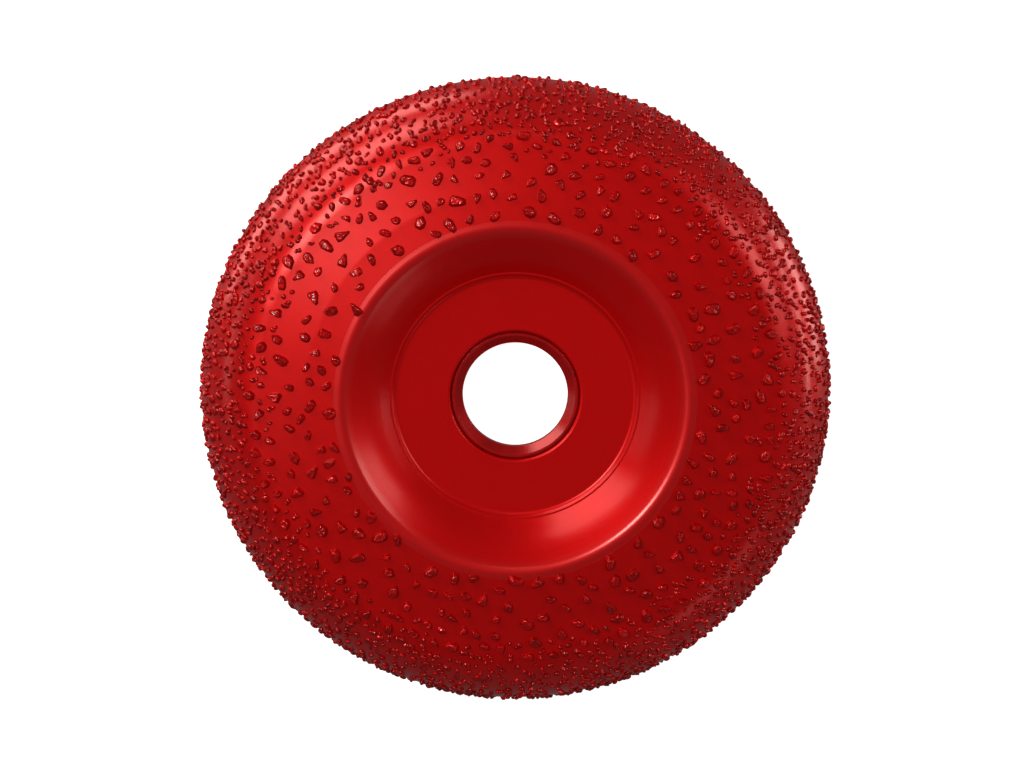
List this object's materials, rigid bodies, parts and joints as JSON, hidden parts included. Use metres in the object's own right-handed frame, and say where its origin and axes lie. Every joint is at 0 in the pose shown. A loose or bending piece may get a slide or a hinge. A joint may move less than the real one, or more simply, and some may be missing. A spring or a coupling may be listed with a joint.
{
  "type": "angle grinder carving disc",
  "caption": "Dished round carving disc with a rounded shoulder, coarse carbide shards on its face, fine grit round its edge and a loose reducing ring in its bore.",
  "frame": {"origin": "centre of the hub's flat back face, which clamps against the grinder's inner flange", "axes": "+Z along the spindle axis, out of the working side; X and Y across the disc"},
  "size_m": [0.0983, 0.0982, 0.0142],
  "materials": {
    "painted_steel": "satin candy red over turned steel",
    "painted_ring": "satin candy red over turned steel",
    "painted_braze": "satin candy red over rough braze",
    "painted_shards": "gloss red over broken carbide",
    "painted_grit": "gloss red over carbide grit"
  },
  "bodies": {
    "disc": {"disc_body": "painted_steel", "braze_coat": "painted_braze", "coarse_block_shards_inner": "painted_shards", "coarse_teardrop_shards_inner": "painted_shards", "coarse_wedge_shards_inner": "painted_shards", "coarse_block_shards_middle": "painted_shards", "coarse_teardrop_shards_middle": "painted_shards", "coarse_wedge_shards_middle": "painted_shards", "coarse_block_shards_outer": "painted_shards", "coarse_teardrop_shards_outer": "painted_shards", "coarse_wedge_shards_outer": "painted_shards", "fine_bead_grit_face_edge": "painted_grit", "fine_chip_grit_face_edge": "painted_grit", "fine_bead_grit_shoulder": "painted_grit", "fine_chip_grit_shoulder": "painted_grit", "fine_bead_grit_rim": "painted_grit", "fine_chip_grit_rim": "painted_grit", "fine_bead_grit_skirt": "painted_grit", "fine_chip_grit_skirt": "painted_grit"},
    "ring": {"reducing_ring": "painted_ring"}
  },
  "joints": [
    {"name": "ring_push_out", "type": "slide", "parent": "disc", "child": "ring", "axis": [0, 0, 1], "range_m": [0, 0.012]}
  ]
}
